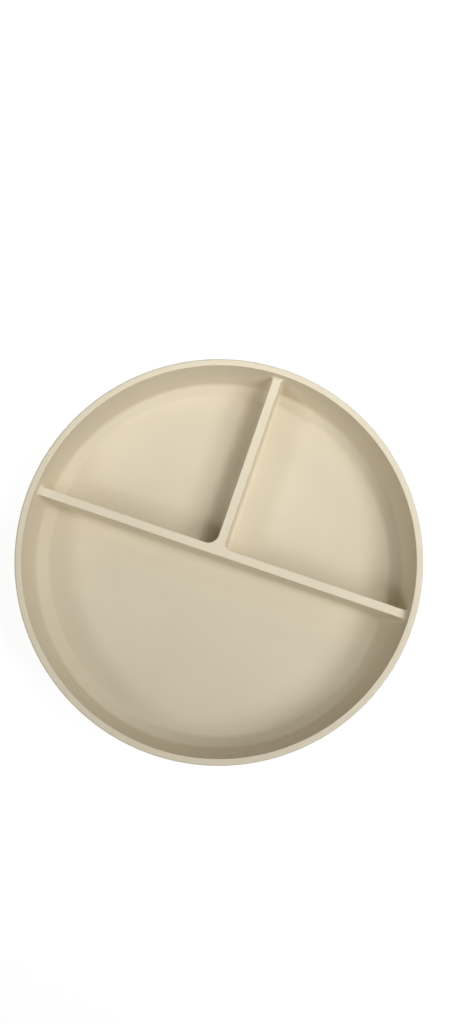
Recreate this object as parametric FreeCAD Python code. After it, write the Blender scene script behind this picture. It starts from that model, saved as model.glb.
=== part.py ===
import FreeCAD, Part
import math
import os
from FreeCAD import Vector

# A baby's divided suction plate, moulded in one piece of soft silicone.
# Millimetres, +Z up. The origin is on the table under the plate's centre.
# +X runs along the long divider and +Y along the short one.

# Tray
rim_diameter = 185.0
rim_thickness = 3.2
rim_crown = 0.3  # the rim's top is domed, this much higher in the middle than at its edges
tray_depth = 24.5
floor_thickness = 4.0
inner_draft = 11.0  # degrees from upright, for the face that the food touches
outer_draft = 5.0
slope_width = 5.1  # a slope runs round the floor and leads up to the wall
slope_rise = 3.6
slope_radius = 3.0  # the sweeps at the slope's foot and top
heel_bevel = 6.0  # the same corner on the outside

# Dividers, a T in plan
divider_width = 4.0
divider_drop = 4.5  # from the rim down to the top of the dividers
divider_draft = 1.5
divider_edge_radius = 0.35
divider_root_radius = 1.8
left_corner_radius = 5.0  # the two corners of the T, at the top of the dividers
right_corner_radius = 3.0
bar_offset = 3.4  # the long divider lies this far from the plate's centre, along +Y
stem_offset = -1.8  # the short divider's place along X

# Suction base, a cup that opens downwards and ends in a flat lip
base_height = 6.5  # from the table to the underside of the tray
lip_diameter = 126.0
lip_thickness = 1.6
lip_overhang = 2.2  # the lip's free edge, outside the skirt that carries it
land_inset = 0.8  # the flat that seals on the table reaches this far in under the skirt
cup_diameter = 100.0  # the inside of the cup, at the underside of the tray
neck_thickness = 6.0  # the cup's upright wall, where it joins the tray
neck_height = 2.5

# Tab on the lip, for peeling it off the table
tab_width = 18.0
tab_reach = 13.0  # past the lip
tab_corner_radius = 6.0
tab_root_radius = 5.0

# The roots of the dividers are sunk this deep in the floor and the wall.
bury = 1.0
# A rounded root takes at most this share of the tightest hollow that it runs through.
root_share = 0.8
# Edges that are closer than this count as one.
touch = 0.001

rim_r = rim_diameter / 2
inner_rim_r = rim_r - rim_thickness
floor_z = base_height + floor_thickness
slope_z = floor_z + slope_rise
rim_z = floor_z + tray_depth
rim_edge_z = rim_z - rim_crown
divider_top = rim_z - divider_drop
divider_foot = floor_z - bury
lip_r = lip_diameter / 2
skirt_r = lip_r - lip_overhang
land_r = skirt_r - land_inset
neck_r = cup_diameter / 2 + neck_thickness


def spread(draft, height):
    """How far a face leans out over a height."""
    return height * math.tan(math.radians(draft))


def outer_wall_r(z):
    return rim_r - spread(outer_draft, rim_edge_z - z)


def inner_wall_r(z):
    return inner_rim_r - spread(inner_draft, rim_edge_z - z)


def rounded_wire(corners):
    """A closed wire through (point, radius) corners, each rounded by its radius."""
    runs = []
    for i, (corner, radius) in enumerate(corners):
        if not radius:
            runs.append((corner, None, corner))
            continue
        back = (corners[i - 1][0] - corner).normalize()
        ahead = (corners[(i + 1) % len(corners)][0] - corner).normalize()
        half_angle = back.getAngle(ahead) / 2
        tangent = radius / math.tan(half_angle)
        to_centre = (back + ahead).normalize() * (radius / math.sin(half_angle))
        middle = corner + to_centre - to_centre / to_centre.Length * radius
        runs.append((corner + back * tangent, middle, corner + ahead * tangent))
    edges = []
    for i, (start, middle, end) in enumerate(runs):
        if middle:
            edges.append(Part.Arc(start, middle, end).toShape())
        following = runs[(i + 1) % len(runs)][0]
        if not end.isEqual(following, touch):
            edges.append(Part.LineSegment(end, following).toShape())
    return Part.Wire(edges)


def turned(section):
    """A solid of revolution about Z, from (r, z, radius) corners."""
    wire = rounded_wire([(Vector(r, 0, z), radius) for r, z, radius in section])
    return Part.Face(wire).revolve(Vector(0, 0, 0), Vector(0, 0, 1), 360)


def body():
    """Tray and suction cup, as one turned section that starts under the floor and ends on it."""
    cup = [
        (0, base_height, 0),
        (cup_diameter / 2, base_height, 0),
        (land_r, 0, 0),
        (skirt_r, 0, 0),
        (skirt_r, lip_thickness, 0),
        (neck_r, base_height - neck_height, 0),
        (neck_r, base_height, 0),
    ]
    heel_z = base_height + heel_bevel
    half_rim = rim_thickness / 2
    lean = 2 * math.atan(rim_crown / half_rim)
    tray = [
        (outer_wall_r(base_height) - heel_bevel, base_height, 0),
        (outer_wall_r(heel_z), heel_z, 0),
        (rim_r, rim_edge_z, 0),
        (rim_r - half_rim, rim_edge_z + half_rim * math.tan(lean), half_rim / math.sin(lean)),
        (inner_rim_r, rim_edge_z, 0),
        (inner_wall_r(slope_z), slope_z, slope_radius),
        (inner_wall_r(slope_z) - slope_width, floor_z, slope_radius),
        (0, floor_z, 0),
    ]
    return turned(cup + tray)


def room(grow):
    """The space between the walls, with its sides and floor moved out by grow."""
    sideways = grow / math.cos(math.radians(inner_draft))
    foot = floor_z - grow
    return turned(
        [
            (0, foot, 0),
            (inner_wall_r(foot) + sideways, foot, 0),
            (inner_wall_r(rim_z) + sideways, rim_z, 0),
            (0, rim_z, 0),
        ]
    )


def divider_outline(z):
    """The T at height z, thicker towards the floor, with ends that run past the wall."""
    grow = spread(divider_draft, divider_top - z)
    half = divider_width / 2 + grow
    low, high = bar_offset - half, bar_offset + half
    left, right = stem_offset - half, stem_offset + half
    outline = [
        (-rim_r, low, 0),
        (rim_r, low, 0),
        (rim_r, high, 0),
        (right, high, right_corner_radius - grow),
        (right, rim_r, 0),
        (left, rim_r, 0),
        (left, high, left_corner_radius - grow),
        (-rim_r, high, 0),
    ]
    return rounded_wire([(Vector(x, y, z), radius) for x, y, radius in outline])


def dividers():
    """The T of dividers, rounded along its top and buried a little in the floor and wall."""
    shape = Part.makeLoft([divider_outline(divider_foot), divider_outline(divider_top)], True, True)
    top = [
        edge
        for edge in shape.Edges
        if edge.BoundBox.ZMin > divider_top - touch
        and abs(edge.BoundBox.Center.x) < rim_r - touch
        and edge.BoundBox.Center.y < rim_r - touch
    ]
    return shape.makeFillet(divider_edge_radius, top).common(room(bury))


def joined(*shapes):
    return shapes[0].fuse(list(shapes[1:])).removeSplitter().Solids[0]


def seam(shape, first, second):
    """The edges of shape that lie on the skins of both solids it was joined from."""
    skins = (first.Shells[0], second.Shells[0])

    def on_both(edge):
        middle = Part.Vertex(edge.valueAt((edge.FirstParameter + edge.LastParameter) / 2))
        return all(skin.distToShape(middle)[0] < touch for skin in skins)

    return [edge for edge in shape.Edges if on_both(edge)]


def lip():
    """The flat edge of the suction cup, with its tab under the front of the plate."""
    half = tab_width / 2
    tip = -lip_r - tab_reach
    outline = [
        (half, 0, 0),
        (half, tip, tab_corner_radius),
        (-half, tip, tab_corner_radius),
        (-half, 0, 0),
    ]
    wire = rounded_wire([(Vector(x, y, 0), radius) for x, y, radius in outline])
    tab = Part.Face(wire).extrude(Vector(0, 0, lip_thickness))
    shape = joined(Part.makeCylinder(lip_r, lip_thickness), tab)
    roots = [
        edge
        for edge in shape.Edges
        if edge.BoundBox.ZLength > lip_thickness / 2
        and abs(abs(edge.BoundBox.Center.x) - half) < touch
        and edge.BoundBox.Center.y > -lip_r
    ]
    shape = shape.makeFillet(tab_root_radius, roots)
    return shape.cut(Part.makeCylinder(land_r, lip_thickness))


def plate():
    tray = body()
    walls = dividers()
    shape = joined(tray, walls)
    tightest = min(slope_radius, left_corner_radius, right_corner_radius)
    radius = min(divider_root_radius, root_share * tightest)
    shape = shape.makeFillet(radius, seam(shape, tray, walls))
    return joined(shape, lip())


os.makedirs("parts", exist_ok=True)
plate().exportStep("parts/divided_plate.step")
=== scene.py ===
import math
import bmesh
import bpy
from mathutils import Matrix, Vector
from mathutils.kdtree import KDTree


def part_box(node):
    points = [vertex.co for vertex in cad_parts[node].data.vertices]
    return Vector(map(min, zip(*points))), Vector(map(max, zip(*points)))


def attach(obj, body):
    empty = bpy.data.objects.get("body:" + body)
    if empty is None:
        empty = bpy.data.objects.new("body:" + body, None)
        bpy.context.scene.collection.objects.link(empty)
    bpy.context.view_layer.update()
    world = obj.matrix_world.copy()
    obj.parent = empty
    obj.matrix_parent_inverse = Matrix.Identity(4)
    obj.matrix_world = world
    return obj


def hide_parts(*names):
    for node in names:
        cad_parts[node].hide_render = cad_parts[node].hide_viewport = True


# A baby's divided suction plate in matte sand-beige silicone, on a white table.
# Metres, +Z up, with the table at z = 0. +X runs along the long divider.

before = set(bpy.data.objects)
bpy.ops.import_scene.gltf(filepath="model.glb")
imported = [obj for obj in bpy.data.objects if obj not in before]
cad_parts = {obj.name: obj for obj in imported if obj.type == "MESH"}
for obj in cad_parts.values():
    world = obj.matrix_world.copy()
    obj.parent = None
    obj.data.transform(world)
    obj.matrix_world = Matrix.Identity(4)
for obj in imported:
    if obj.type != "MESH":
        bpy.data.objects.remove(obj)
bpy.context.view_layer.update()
mm = 0.001

# Photograph, in pixels
picture_width = 473
picture_height = 1024
rim_in_picture = 204.75  # half of the width of the rim
plate_in_picture = (219.3, 558.2)  # where the centre of the rim shows
divider_slope = math.radians(18.95)  # the long divider falls to the right

# Camera
camera_lean = math.radians(6.2)  # off the vertical, towards the lower edge of the picture
camera_distance = 640 * mm  # from the rim's centre
camera_sensor = 36.0  # its size and the lens share this unit
camera_clip = (0.01, 50)

# Plate, as packed
low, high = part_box("divided_plate")
rim_radius = (high.x - low.x) / 2
rim_centre = Vector((0, 0, high.z))
inner_rim_radius = 89.3 * mm
rim_edge_height = 34.7 * mm
inner_draft = math.radians(11)
wall_foot = (90.557 * mm, 12.5 * mm)  # radius and height where the bevel of the heel starts
heel_foot = (84.033 * mm, 6.5 * mm)  # and where it ends, on the underside
underside_height = 6.5 * mm
neck_radius = 56 * mm
lip_radius = 63 * mm
lip_thickness = 1.6 * mm

# Soft edges of the moulding
inner_edge_radius = 0.3 * mm
outer_edge_radius = 0.9 * mm
heel_radius = 9 * mm
arc_steps = 6
lip_edge_radius = 0.5 * mm
lip_edge_steps = 3
sharp_edge = math.radians(60)

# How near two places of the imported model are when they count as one
same_point = 0.001 * mm
same_corner = 0.002 * mm
same_height = 0.01 * mm
same_radius = 0.05 * mm
lip_margin = 0.1 * mm

# How alike two directions are, as the cosine of the angle between them
same_surface = 0.7
smooth_neighbour = 0.6

# Silicone
sand = (0.749, 0.671, 0.514)
highlight_gain = 1.155  # painted highlight: the tops of the dividers and the rim are painted this much paler than the rest, for the light they catch
highlight_heights = (28 * mm, 30 * mm)  # the painted highlight comes in between these
highlight_facing = (0.35, 0.75)  # and on faces that look up by this much
noise_range = (0.3, 0.7)  # most of a noise lies between these
cloud_scale, cloud_detail = 28, 3
cloud_tone = (0.985, 1.015)
matte_scale, matte_detail = 90, 4
matte_roughness = (0.55, 0.66)
gloss = 0.4
grain_scale, grain_detail = 1600, 2
grain_strength = 0.12
grain_depth = 0.05 * mm

# Table
table_size = 8.0
table_gap = 0.1 * mm  # so that the table and the lip don't share one plane
table_grey = 0.85
table_glow = 0.9  # the white that the table adds where it is looked at
lit_radius = 0.3  # the lamps light the table to here, and past it the glow makes up for them
white_radius = 1.0  # from here out the table is plain white, like the backdrop
shadow_share = 0.3  # how much of the table's own light and shadow shows in that white

# Lamps: soft boxes round the plate. Each beam is aimed past the centre, so that its light falls
# off across the plate. Angles are in degrees, and an azimuth starts at +X.
lamp_distance = 1.2
lamps = (
    # name, azimuth, height, watts, size, aimed towards, past the centre by, width of the beam
    ("key", 20, 66, 0.50, 0.25, 120, 0.3, 50),
    ("key_front", -12, 50, 0.72, 0.5, 78, 0.25, 60),
    ("right", 5, 48, 0.25, 0.25, -20, 0.4, 50),
    ("back", 72, 57, 0.14, 0.25, 78, 0.3, 50),
    ("low_back", 72, 34, 0.12, 0.25, 78, 0.3, 50),
    ("left", 216, 46, 0.27, 0.25, 78, 0.3, 50),
    ("front_left", 250, 45, 0.22, 0.5, 78, 0.25, 60),
)


def add_camera():
    """The photograph's viewing angle, turned so that the plate shows where it does there."""
    focal_pixels = rim_in_picture / rim_radius * camera_distance
    towards_lower_edge = Vector((math.sin(divider_slope), -math.cos(divider_slope), 0))
    away = towards_lower_edge * math.sin(camera_lean) + Vector((0, 0, math.cos(camera_lean)))
    straight = (-away).to_track_quat("-Z", "Y")
    right = plate_in_picture[0] - picture_width / 2
    up = picture_height / 2 - plate_in_picture[1]
    ray = Vector((right, up, -focal_pixels))
    data = bpy.data.cameras.new("view")
    data.sensor_width = camera_sensor
    data.lens = camera_sensor * focal_pixels / picture_height
    data.clip_start, data.clip_end = camera_clip
    camera = bpy.data.objects.new("view", data)
    camera.location = rim_centre + away * camera_distance
    camera.rotation_mode = "QUATERNION"
    camera.rotation_quaternion = straight @ Vector((0, 0, -1)).rotation_difference(ray).inverted()
    bpy.context.scene.collection.objects.link(camera)
    bpy.context.scene.camera = camera


def ranged(tree, value, start, end):
    """A value's range, start, mapped to another, end, and kept inside it."""
    node = tree.nodes.new("ShaderNodeMapRange")
    for name, limit in zip(("From Min", "From Max", "To Min", "To Max"), (*start, *end)):
        node.inputs[name].default_value = limit
    tree.links.new(value, node.inputs["Value"])
    return node.outputs["Result"]


def combined(tree, operation, first, second):
    node = tree.nodes.new("ShaderNodeMath")
    node.operation = operation
    tree.links.new(first, node.inputs[0])
    tree.links.new(second, node.inputs[1])
    return node.outputs[0]


def silicone():
    """Matte sand silicone, a little cloudy, with a fine moulded grain and a painted highlight on
    the tops.
    """
    material = bpy.data.materials.new("sand_silicone")
    material.use_nodes = True
    tree = material.node_tree
    shader = tree.nodes["Principled BSDF"]
    place = tree.nodes.new("ShaderNodeTexCoord")

    def noise(scale, detail):
        node = tree.nodes.new("ShaderNodeTexNoise")
        node.inputs["Scale"].default_value = scale
        node.inputs["Detail"].default_value = detail
        tree.links.new(place.outputs["Object"], node.inputs["Vector"])
        return node.outputs["Fac"]

    def upward(output):
        """The Z part of a place or a direction."""
        node = tree.nodes.new("ShaderNodeSeparateXYZ")
        tree.links.new(place.outputs[output], node.inputs[0])
        return node.outputs["Z"]

    # Painted highlight: high faces that look up are painted paler, standing in for the light that
    # the tops catch
    raised = ranged(tree, upward("Object"), highlight_heights, (0, 1))
    facing_up = ranged(tree, upward("Normal"), highlight_facing, (0, 1))
    top = combined(tree, "MULTIPLY", raised, facing_up)
    painted_highlight = ranged(tree, top, (0, 1), (1, highlight_gain))
    cloud = ranged(tree, noise(cloud_scale, cloud_detail), noise_range, cloud_tone)
    tone = tree.nodes.new("ShaderNodeVectorMath")
    tone.operation = "SCALE"
    tone.inputs[0].default_value = sand
    tree.links.new(combined(tree, "MULTIPLY", cloud, painted_highlight), tone.inputs["Scale"])
    tree.links.new(tone.outputs[0], shader.inputs["Base Color"])

    roughness = ranged(tree, noise(matte_scale, matte_detail), noise_range, matte_roughness)
    tree.links.new(roughness, shader.inputs["Roughness"])
    shader.inputs["Specular IOR Level"].default_value = gloss

    grain = tree.nodes.new("ShaderNodeBump")
    grain.inputs["Strength"].default_value = grain_strength
    grain.inputs["Distance"].default_value = grain_depth
    tree.links.new(noise(grain_scale, grain_detail), grain.inputs["Height"])
    tree.links.new(grain.outputs[0], shader.inputs["Normal"])
    return material


def on_ring(vertex, radius, height):
    """Whether a vertex lies on the circle of this radius and height about the plate's axis."""
    off_radius = abs(vertex.co.xy.length - radius)
    off_height = abs(vertex.co.z - height)
    return off_radius < same_radius and off_height < same_height


def is_ring_edge(edge, radius, height):
    return all(on_ring(vertex, radius, height) for vertex in edge.verts)


def arc(before, corner, after, radius):
    """The points of a rounded corner of a section, each with its outward direction."""
    back = (before - corner).normalized()
    ahead = (after - corner).normalized()
    half_angle = back.angle(ahead) / 2
    centre = corner + (back + ahead).normalized() * (radius / math.sin(half_angle))
    tangent = radius / math.tan(half_angle)
    first = (corner + back * tangent - centre).normalized()
    last = (corner + ahead * tangent - centre).normalized()
    directions = [first.slerp(last, i / arc_steps) for i in range(arc_steps + 1)]
    return [(centre + direction * radius, direction) for direction in directions]


def outside_section():
    """The tray's outside, from the inner edge of the rim to the underside."""
    top = high.z
    inner = Vector((inner_rim_radius + math.tan(inner_draft) * (top - rim_edge_height), top))
    outer = Vector((rim_radius, top))
    wall_end, heel_end = Vector(wall_foot), Vector(heel_foot)
    down_inside = inner - Vector((math.sin(inner_draft), math.cos(inner_draft)))
    return (
        arc(down_inside, inner, outer, inner_edge_radius)
        + arc(inner, outer, wall_end, outer_edge_radius)
        + arc(outer, wall_end, heel_end, heel_radius)
        + arc(wall_end, heel_end, Vector((0, underside_height)), heel_radius)
    )


def strip_outside(bm):
    """Take off the faces between the inner edge of the rim and the neck of the suction cup."""
    rings = ((inner_rim_radius, rim_edge_height), (neck_radius, underside_height))
    lowest = rim_edge_height - same_height
    front = [face for face in bm.faces if all(v.co.z > lowest for v in face.verts)]
    outside = set(front)
    while front:
        for edge in front.pop().edges:
            if any(is_ring_edge(edge, *ring) for ring in rings):
                continue
            for face in edge.link_faces:
                if face not in outside:
                    outside.add(face)
                    front.append(face)
    bmesh.ops.delete(bm, geom=list(outside), context="FACES")


def turn_outside(bm, facing):
    """Turn the outside again with soft edges, on the vertices of the rim's inner edge."""
    ring = [v for v in bm.verts if on_ring(v, inner_rim_radius, rim_edge_height)]
    ring.sort(key=lambda v: math.atan2(v.co.y, v.co.x))
    spokes = [v.co.xy.normalized() for v in ring]
    rows = []
    for point, direction in outside_section():
        row = [bm.verts.new() for _ in ring] if rows else ring
        for vertex, spoke in zip(row, spokes):
            vertex.co = (*(spoke * point.x), point.y)
            vertex[facing] = (*(spoke * direction.x), direction.y)
        rows.append(row)
    count = len(ring)
    for upper, lower in zip(rows, rows[1:]):
        for i in range(count):
            j = (i + 1) % count
            bm.faces.new((upper[i], lower[i], lower[j], upper[j]))
    last = rows[-1]
    borders = [bm.edges.get((last[i], last[(i + 1) % count])) for i in range(count)]
    borders += [
        e for e in bm.edges if e.is_boundary and is_ring_edge(e, neck_radius, underside_height)
    ]
    bmesh.ops.triangle_fill(bm, edges=borders, use_beauty=True, normal=(0, 0, -1))


def soften_lip(bm):
    """Round the free edges of the lip and its tab."""

    def is_free(edge):
        levels = {round(v.co.z / lip_thickness, 2) for v in edge.verts}
        outside = all(v.co.xy.length > lip_radius - lip_margin for v in edge.verts)
        return outside and levels in ({0.0}, {1.0}) and edge.calc_face_angle(0) > sharp_edge

    bmesh.ops.bevel(
        bm,
        geom=[edge for edge in bm.edges if is_free(edge)],
        offset=lip_edge_radius,
        segments=lip_edge_steps,
        profile=0.5,
        affect="EDGES",
        clamp_overlap=True,
    )


def corner_normals(bm, facing, packed):
    """A direction for each corner of each face.

    It is the turned outside's own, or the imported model's where its shape is kept, or else the
    average of the faces that run on smoothly.
    """
    places = KDTree(len(packed.loops))
    for loop in packed.loops:
        places.insert(packed.vertices[loop.vertex_index].co, loop.index)
    places.balance()
    kept = packed.corner_normals

    def direction(face, vertex):
        if vertex[facing].length:
            return vertex[facing].copy()
        near = [kept[i].vector for _, i, _ in places.find_range(vertex.co, same_corner)]
        best = max(near, key=face.normal.dot, default=None)
        if best is not None and best.dot(face.normal) >= same_surface:
            return Vector(best)
        around = [f for f in vertex.link_faces if f.normal.dot(face.normal) > smooth_neighbour]
        return sum((f.normal * f.calc_area() for f in around), Vector()).normalized()

    return [direction(face, vertex) for face in bm.faces for vertex in face.verts]


def add_plate():
    """The plate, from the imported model, with its outside turned again with soft edges."""
    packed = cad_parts["divided_plate"].data
    bm = bmesh.new()
    bm.from_mesh(packed)
    facing = bm.verts.layers.float_vector.new("facing")
    bmesh.ops.remove_doubles(bm, verts=bm.verts, dist=same_point)
    strip_outside(bm)
    turn_outside(bm, facing)
    soften_lip(bm)
    bm.normal_update()
    normals = corner_normals(bm, facing, packed)
    bm.verts.layers.float_vector.remove(facing)
    mesh = bpy.data.meshes.new("plate")
    bm.to_mesh(mesh)
    bm.free()
    mesh.shade_smooth()
    mesh.normals_split_custom_set(normals)
    mesh.materials.clear()
    mesh.materials.append(silicone())
    plate = bpy.data.objects.new("plate", mesh)
    bpy.context.scene.collection.objects.link(plate)
    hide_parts("divided_plate")
    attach(plate, "root")


def looked_at_by(tree):
    """1 for the rays that look at a surface, straight or in a reflection, and else 0."""
    rays = tree.nodes.new("ShaderNodeLightPath").outputs
    looked_at = combined(tree, "MAXIMUM", rays["Is Camera Ray"], rays["Is Glossy Ray"])
    return combined(tree, "MAXIMUM", looked_at, rays["Is Transmission Ray"])


def white_floor():
    """Pale grey to the plate's own light, and white with a faint shadow where it is looked at."""
    material = bpy.data.materials.new("white_table")
    material.use_nodes = True
    tree = material.node_tree
    tree.nodes.clear()
    add, link = tree.nodes.new, tree.links.new

    def plain(grey):
        shader = add("ShaderNodeBsdfDiffuse")
        shader.inputs["Color"].default_value = (grey, grey, grey, 1)
        return shader.outputs[0]

    place = add("ShaderNodeTexCoord")
    distance = add("ShaderNodeVectorMath")
    distance.operation = "LENGTH"
    link(place.outputs["Object"], distance.inputs[0])
    glow = add("ShaderNodeEmission")
    reach = (lit_radius, white_radius)
    strength = ranged(tree, distance.outputs["Value"], reach, (table_glow, 1))
    link(strength, glow.inputs["Strength"])
    white = add("ShaderNodeAddShader")
    link(glow.outputs[0], white.inputs[0])
    link(plain(table_grey * shadow_share), white.inputs[1])
    blend = add("ShaderNodeMixShader")
    link(looked_at_by(tree), blend.inputs["Fac"])
    link(plain(table_grey), blend.inputs[1])
    link(white.outputs[0], blend.inputs[2])
    link(blend.outputs[0], add("ShaderNodeOutputMaterial").inputs["Surface"])
    return material


def add_table():
    """A wide white table, just under the lip."""
    half = table_size / 2
    signs = ((-1, -1), (1, -1), (1, 1), (-1, 1))
    mesh = bpy.data.meshes.new("table")
    mesh.from_pydata([(half * x, half * y, -table_gap) for x, y in signs], [], [(0, 1, 2, 3)])
    mesh.materials.append(white_floor())
    table = bpy.data.objects.new("table", mesh)
    bpy.context.scene.collection.objects.link(table)


def add_backdrop():
    """White all round, without light of its own on the plate."""
    world = bpy.data.worlds.new("white_backdrop")
    world.use_nodes = True
    tree = world.node_tree
    backdrop = tree.nodes["Background"]
    backdrop.inputs["Color"].default_value = (1, 1, 1, 1)
    tree.links.new(looked_at_by(tree), backdrop.inputs["Strength"])
    bpy.context.scene.world = world


def add_lamp(name, azimuth, height, watts, size, towards, past, beam):
    """A soft box round the plate. The table of lamps says what each value is."""
    azimuth, height, towards = math.radians(azimuth), math.radians(height), math.radians(towards)
    across = math.cos(height)
    direction = Vector((across * math.cos(azimuth), across * math.sin(azimuth), math.sin(height)))
    place = rim_centre + direction * lamp_distance
    aim = rim_centre + past * Vector((math.cos(towards), math.sin(towards), 0))
    data = bpy.data.lights.new(name, "AREA")
    data.shape = "SQUARE"
    data.size = size
    data.energy = watts
    data.spread = math.radians(beam)
    lamp = bpy.data.objects.new(name, data)
    lamp.location = place
    lamp.rotation_mode = "QUATERNION"
    lamp.rotation_quaternion = (aim - place).to_track_quat("-Z", "Y")
    bpy.context.scene.collection.objects.link(lamp)


add_camera()
add_plate()
add_table()
add_backdrop()
for lamp in lamps:
    add_lamp(*lamp)

bpy.context.scene.view_settings.view_transform = "Standard"
